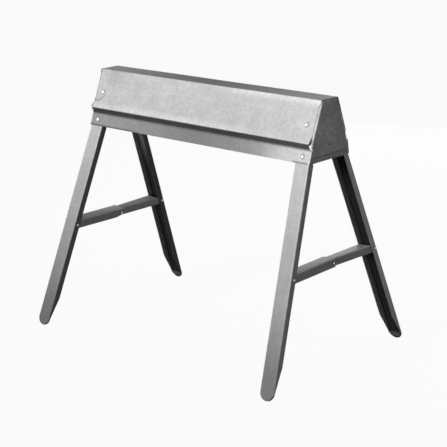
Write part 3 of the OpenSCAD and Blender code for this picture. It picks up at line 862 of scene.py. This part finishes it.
def brace_section(top, low, notch):
    """Section of a brace half: two walls, quarter-circle bends and a web, as a line from wall to wall with
    a point at each height where the ends turn. Returns the outer line, the inner line and the share in a
    bend."""
    half = BRACE_WIDTH / 2
    wall_top = top - BRACE_BEND
    below = [low, -BRACE_END, -BRACE_LAP, -BRACE_LAP + HAIR, -notch, 0.0]
    above = [notch - HAIR, notch, BRACE_LAP, BRACE_END, wall_top]
    z = np.unique(np.concatenate([below, above, np.linspace(low, wall_top, 26)]))
    q = np.linspace(0, np.pi / 2, BEND_STEPS)[1:]
    wall = np.stack([np.full_like(z, -half), z], -1)
    turn = np.stack([-half + BRACE_BEND * (1 - np.cos(q)), wall_top + BRACE_BEND * np.sin(q)], -1)
    flat_x = np.linspace(-half + BRACE_BEND, 0, 7)[1:]
    web = np.stack([flat_x, np.full_like(flat_x, top)], -1)
    left = np.concatenate([wall, turn, web])
    section = np.concatenate([left, left[-2::-1] * MIRROR])
    bent = np.concatenate([np.zeros(len(z)), np.sin(2 * q), np.zeros(len(web))])
    n = line_normals(section)
    n = n * np.sign(n[len(n) // 2, 1])
    return section, section - n * BRACE_SHEET, np.concatenate([bent, bent[-2::-1]])


def brace_ends(section, top, low, notch, outer_half):
    """The two end lines of a brace half, as functions of the height h: round about the leg's rivets and
    sloped up to the web; at the middle, past the centre rivet. There the front half is square on its outer
    wall and sloped on its inner one, and the rear half is round and notched about the rivet, with the notch
    open towards its tip."""
    h = section[:, 1]
    start = np.interp(h, [low, -BRACE_END], [BRACE_END, 0.0])
    start = np.where(np.abs(h) < BRACE_END, -np.sqrt(np.clip(BRACE_END ** 2 - h ** 2, 0, None)), start)
    start = np.where(h >= BRACE_END, np.interp(h, [BRACE_END, top], [0.0, WEB_START]), start)
    stop = np.interp(h, [low, -BRACE_LAP], [BRACE_RUN - BRACE_SLOPE, BRACE_RUN + BRACE_OVER])
    if outer_half:
        return start, np.where((h > -BRACE_LAP) | (section[:, 0] > 0), BRACE_RUN + BRACE_OVER, stop)
    tip = BRACE_RUN + np.sqrt(np.clip(BRACE_LAP ** 2 - np.minimum(h, 0) ** 2, 0, None))
    stop = np.where(h > -BRACE_LAP, tip, np.minimum(stop, BRACE_RUN))
    stop = np.where(h > 0, np.interp(h, [0, top], [BRACE_RUN + BRACE_LAP, BRACE_RUN - BRACE_SHEET]), stop)
    over = np.clip(h - NOTCH_TOP, 0, None)
    slot = BRACE_RUN - NOTCH_BACK - np.sqrt(np.clip(notch ** 2 - over ** 2, 0, None))
    slot = slot + np.clip(-NOTCH_LOW - h, 0, None) / np.tan(NOTCH_FALL)
    return start, np.where(h < notch, np.minimum(stop, slot), stop)


def brace_half(word, end, side_word, side):
    """Half of a brace: its section carried along y between its two end lines. The nested half narrows in
    plan towards the middle. The bend on the right takes a painted highlight and the other one painted shade;
    the walls take painted shade below the web, and the rear left half painted shade all over, as the beam's
    shadow."""
    outer_half = side_word == "front"
    top = BRACE_RISE - (0 if outer_half else NEST_DROP)
    low = -BRACE_RISE if outer_half else -BRACE_RISE + BRACE_SHEET
    notch = BRACE_SHANK / 2 + NOTCH_ROOM
    section, inside, bent = brace_section(top, low, notch)
    start, stop = brace_ends(section, top, low, notch, outer_half)
    t = np.concatenate([np.linspace(0, 0.12, 8), np.linspace(0.14, 0.88, 26), np.linspace(0.9, 1, 8)])
    y = start[None] + (stop - start)[None] * t[:, None]
    tip_width = BRACE_WIDTH if outer_half else NEST_WIDTH
    narrow = 1 + (tip_width / BRACE_WIDTH - 1) * y / BRACE_RUN

    def carried(line):
        shift = line[None, :, 0] - section[None, :, 0]
        across = section[None, :, 0] * narrow + shift
        p = np.stack([across, y, np.broadcast_to(line[None, :, 1], y.shape)], -1)
        return to_corner(from_brace(p), end, side)

    flat = np.stack([y, np.broadcast_to(run_length(section), y.shape)], -1)
    # Painted highlight on the near bend; painted shade on the far bend, the walls and the rear left half
    near = section[:, 0] * end > 0
    shade = BRACE_SHADED_DULL if end < 0 and not outer_half else 0.0
    on_wall = BRACE_WALL_SHADE * drop(section[:, 1], top - 1, 2)
    dull = np.maximum(shade, np.maximum(on_wall, BRACE_FAR_SHADE * bent * ~near))
    plates = Plates()
    plates.sheet(carried(section), carried(inside), flat, bent * near, dull=dull)
    name = f"{word}_brace_{side_word}_half"
    plates.piece(f"{name}_sheet", name, "brace_steel", [name])


def rivet_profile(shank, head, rise, grip, tail, tail_height, tail_at=None, bright=HEAD_BRIGHT):
    """Profile of a rivet: a spherical cap with a small rim as its head, a plain shank and a flat tail with
    a bevelled edge; radius, height and share of painted shade, from the top of the head to the middle of the
    tail. Painted shade rises outside the bright part of the head as a dark ring, and covers the rest."""
    r = (head ** 2 / 4 + rise ** 2) / (2 * rise)
    a = np.linspace(0, np.arcsin(head / 2 / r), 12)
    dome = np.stack([r * np.sin(a), -rise + r * (1 - np.cos(a))], -1)
    dome[:, 1] = dome[:, 1] * (rise - HEAD_RIM) / rise - HEAD_RIM
    at = grip if tail_at is None else tail_at
    rest = [[head / 2, -HEAD_EDGE], [head / 2, 0.0], [shank / 2, 0.0], [shank / 2, at], [tail / 2, at],
            [tail / 2, at + tail_height * TAIL_STRAIGHT], [tail / 2 - TAIL_EDGE, at + tail_height]]
    if tail_at is not None:
        rest += [[shank / 2, at + tail_height], [shank / 2, grip]]
    profile = np.concatenate([dome, rest, [[0.0, max(grip, at + tail_height)]]])
    # Painted shade: a dark ring round the head, and the head's edge, shank and tail darkened
    on_head = HEAD_RIM_SHADE * ramp(2 * dome[:, 0] / head, bright, 0.3)
    dull = np.concatenate([on_head, np.full(len(rest) + 1, SHANK_SHADE)])
    return np.concatenate([profile, dull[:, None]], 1)


def across_x(p, half, hand):
    """Turns a shape's axis from z to x, inwards from a wall at the half width, on either hand."""
    return (p @ turn_y(-np.pi / 2).T + np.array([half, 0, 0])) * np.array([hand, 1.0, 1.0])


def cap_rivets(word, end):
    """The two rivets that hold a cap in the shell, square to its leaning sides."""
    grip = 2 * SHEET + SEAT_GAP
    profile = rivet_profile(CAP_SHANK, PIVOT_HEAD, PIVOT_DOME, grip, CAP_SHANK + TAIL_SPREAD, TAIL_HEIGHT)
    y = -TOP_WIDTH / 2 - CAP_RIVET_DROP * np.tan(CAP_LEAN)
    at = np.array([END_X - CAP_RIVET_INSET, y, TOP - CAP_RIVET_DROP])
    plates = Plates()
    for side in SIDES.values():
        plates.turned(profile, lambda p: to_corner(at + along_y(p) @ turn_x(-CAP_LEAN).T, end, side))
    plates.piece(f"{word}_cap_rivet_heads", "beam", "rivet_steel", [f"{word}_cap_rivets"])


def centre_rivets(word, end):
    """The two rivets at the middle of a brace, each with a collar inside the front half's wall."""
    grip = (BRACE_WIDTH - NEST_WIDTH) / 2 + BRACE_SHEET + RUN_GAP
    profile = rivet_profile(BRACE_SHANK, BRACE_HEAD, BRACE_DOME, grip, BRACE_SHANK + TAIL_SPREAD,
                            BRACE_SHEET, tail_at=BRACE_SHEET, bright=BRACE_HEAD_BRIGHT)
    middle = np.array([0, BRACE_RUN, 0])

    def place(p, hand):
        return to_corner(from_brace(middle + across_x(p, BRACE_WIDTH / 2, hand)), end, SIDES["front"])

    plates = Plates()
    for hand in HANDS:
        plates.turned(profile, lambda p: place(p, hand))
    plates.piece(f"{word}_centre_rivet_heads", f"{word}_brace_front_half", "rivet_steel",
                 [f"{word}_brace_centre_rivets"])


def pivot_rivet(corner, end, side):
    """A leg's pivot rivet, and the washer under its tail: a flat ring with bevelled edges."""
    top = WASHER_FACE + WASHER_SHEET
    rivet = rivet_profile(PIVOT_SHANK, PIVOT_HEAD, PIVOT_DOME, top, PIVOT_HEAD, TAIL_HEIGHT)
    bore, rim = PIVOT_SHANK / 2 + PIN_GAP, WASHER_WIDTH / 2
    upper = [[bore, WASHER_FACE], [bore, top], [rim - WASHER_EDGE, top], [rim, top - WASHER_EDGE]]
    lower = [[rim, WASHER_FACE + WASHER_EDGE], [rim - WASHER_EDGE, WASHER_FACE], [bore, WASHER_FACE]]
    ring = np.array([point + [WASHER_DULL] for point in upper + lower])
    for profile, word, node in ((rivet, "pivot_rivet", "pivot"), (ring, "washer_ring", "pivot_washer")):
        plates = Plates()
        plates.turned(profile, lambda p: to_corner(from_leg(along_y(p)), end, side))
        plates.piece(f"{corner}_{word}", "beam", "rivet_steel", [f"{corner}_{node}"])


def brace_rivets(corner, end, side):
    """The two rivets that join a brace half to a leg's flanges."""
    grip = (LEG_WIDTH - BRACE_WIDTH) / 2 + BRACE_SHEET + RUN_GAP
    profile = rivet_profile(BRACE_SHANK, BRACE_HEAD, BRACE_DOME, grip, BRACE_SHANK + TAIL_SPREAD,
                            TAIL_HEIGHT, bright=BRACE_HEAD_BRIGHT)

    def place(p, hand):
        return to_corner(from_leg(BRACE_PIVOT + across_x(p, LEG_ROUND, hand)), end, side)

    plates = Plates()
    for hand in HANDS:
        plates.turned(profile, lambda p: place(p, hand))
    plates.piece(f"{corner}_brace_rivet_heads", f"{corner}_leg", "rivet_steel", [f"{corner}_brace_rivets"])


beam_skin()
for word, end in ENDS.items():
    cap_sheet(word, end)
    for side_word, side in SIDES.items():
        leg_sheet(f"{side_word}_{word}", end, side)
        brace_half(word, end, side_word, side)
for word, end in ENDS.items():
    cap_rivets(word, end)
    centre_rivets(word, end)
    for side_word, side in SIDES.items():
        pivot_rivet(f"{side_word}_{word}", end, side)
        brace_rivets(f"{side_word}_{word}", end, side)


def seen_ray(nodes, links):
    """1 for rays by which a place is seen, mirrored or seen through, else 0."""
    path = nodes.new("ShaderNodeLightPath")
    value = path.outputs["Is Camera Ray"]
    for word in ("Is Glossy Ray", "Is Transmission Ray"):
        larger = nodes.new("ShaderNodeMath")
        larger.operation = "MAXIMUM"
        links.new(value, larger.inputs[0])
        links.new(path.outputs[word], larger.inputs[1])
        value = larger.outputs[0]
    return value


def pale_floor():
    """A large floor that is near white where it is seen or mirrored, and keeps a soft shadow of the
    object."""
    mesh = bpy.data.meshes.new("floor")
    corners = [(-FLOOR_HALF, -FLOOR_HALF, 0), (FLOOR_HALF, -FLOOR_HALF, 0), (FLOOR_HALF, FLOOR_HALF, 0),
               (-FLOOR_HALF, FLOOR_HALF, 0)]
    mesh.from_pydata(corners, [], [(0, 1, 2, 3)])
    floor = bpy.data.objects.new("floor", mesh)
    bpy.context.scene.collection.objects.link(floor)
    mat = bpy.data.materials.new("pale_floor")
    mat.use_nodes = True
    nodes, links = mat.node_tree.nodes, mat.node_tree.links
    nodes.remove(nodes["Principled BSDF"])
    share = nodes.new("ShaderNodeMath")
    share.operation = "MULTIPLY"
    share.inputs[1].default_value = FLOOR_SEEN
    links.new(seen_ray(nodes, links), share.inputs[0])
    matt = nodes.new("ShaderNodeBsdfDiffuse")
    matt.inputs["Color"].default_value = (FLOOR_GREY, FLOOR_GREY, FLOOR_GREY, 1)
    glow = nodes.new("ShaderNodeEmission")
    glow.inputs["Strength"].default_value = FLOOR_GLOW
    mix = nodes.new("ShaderNodeMixShader")
    links.new(share.outputs[0], mix.inputs[0])
    links.new(matt.outputs[0], mix.inputs[1])
    links.new(glow.outputs[0], mix.inputs[2])
    links.new(mix.outputs[0], nodes["Material Output"].inputs["Surface"])
    mesh.materials.append(mat)


def stand(obj, right, up, back, place):
    """Links an object to the scene, with its own axes along the three given directions, at a place."""
    turn = np.eye(4)
    turn[:3, 0], turn[:3, 1], turn[:3, 2], turn[:3, 3] = right, up, back, place
    bpy.context.scene.collection.objects.link(obj)
    obj.matrix_world = Matrix(turn.tolist())


def softbox(name, at, aim, size, power, spread):
    """A rectangular lamp at a point, turned to face another."""
    lamp = bpy.data.lights.new(name, "AREA")
    lamp.shape = "RECTANGLE"
    lamp.size, lamp.size_y = size
    lamp.energy = power
    lamp.spread = np.radians(spread)
    back = np.array(at, float) - np.array(aim, float)
    back /= np.linalg.norm(back)
    right = np.cross([0, 0, 1.0], back)
    right /= np.linalg.norm(right)
    stand(bpy.data.objects.new(name, lamp), right, np.cross(back, right), back, at)


def studio():
    """Plain studio light: a large softbox from the front left, a weaker low one from behind, and an even
    world that is dim as a lamp and near white where it is seen or mirrored."""
    softbox("key", at=(-0.35, -2.3, 1.5), aim=(0.1, -0.05, 0.82), size=(3.0, 1.0), power=10.8, spread=40)
    softbox("rear", at=(-1.0, 2.3, 0.22), aim=(0.1, 0.05, 0.4), size=(2.0, 0.4), power=7.0, spread=100)
    world = bpy.data.worlds.new("studio")
    bpy.context.scene.world = world
    world.use_nodes = True
    nodes, links = world.node_tree.nodes, world.node_tree.links
    nodes["Background"].inputs["Color"].default_value = (1, 1, 1, 1)
    level = nodes.new("ShaderNodeMapRange")
    level.inputs["To Min"].default_value = WORLD_LIGHT
    level.inputs["To Max"].default_value = WORLD_SEEN
    links.new(seen_ray(nodes, links), level.inputs["Value"])
    links.new(level.outputs[0], nodes["Background"].inputs["Strength"])


def camera():
    """The photograph's view: a long lens from the front right, a little above, with a slight roll."""
    ahead = (CAMERA_AIM - CAMERA_PLACE) / np.linalg.norm(CAMERA_AIM - CAMERA_PLACE)
    level = np.cross(ahead, [0, 0, 1.0])
    level /= np.linalg.norm(level)
    upright = np.cross(level, ahead)
    right = level * np.cos(CAMERA_ROLL) + upright * np.sin(CAMERA_ROLL)
    up = upright * np.cos(CAMERA_ROLL) - level * np.sin(CAMERA_ROLL)
    lens = bpy.data.cameras.new("camera")
    lens.sensor_width = CAMERA_SENSOR
    lens.lens = CAMERA_SENSOR / 2 / np.tan(CAMERA_ANGLE / 2)
    lens.clip_end = CAMERA_FAR
    eye = bpy.data.objects.new("camera", lens)
    stand(eye, right, up, -ahead, CAMERA_PLACE)
    bpy.context.scene.camera = eye


pale_floor()
studio()
camera()
bpy.context.scene.view_settings.view_transform = "Standard"
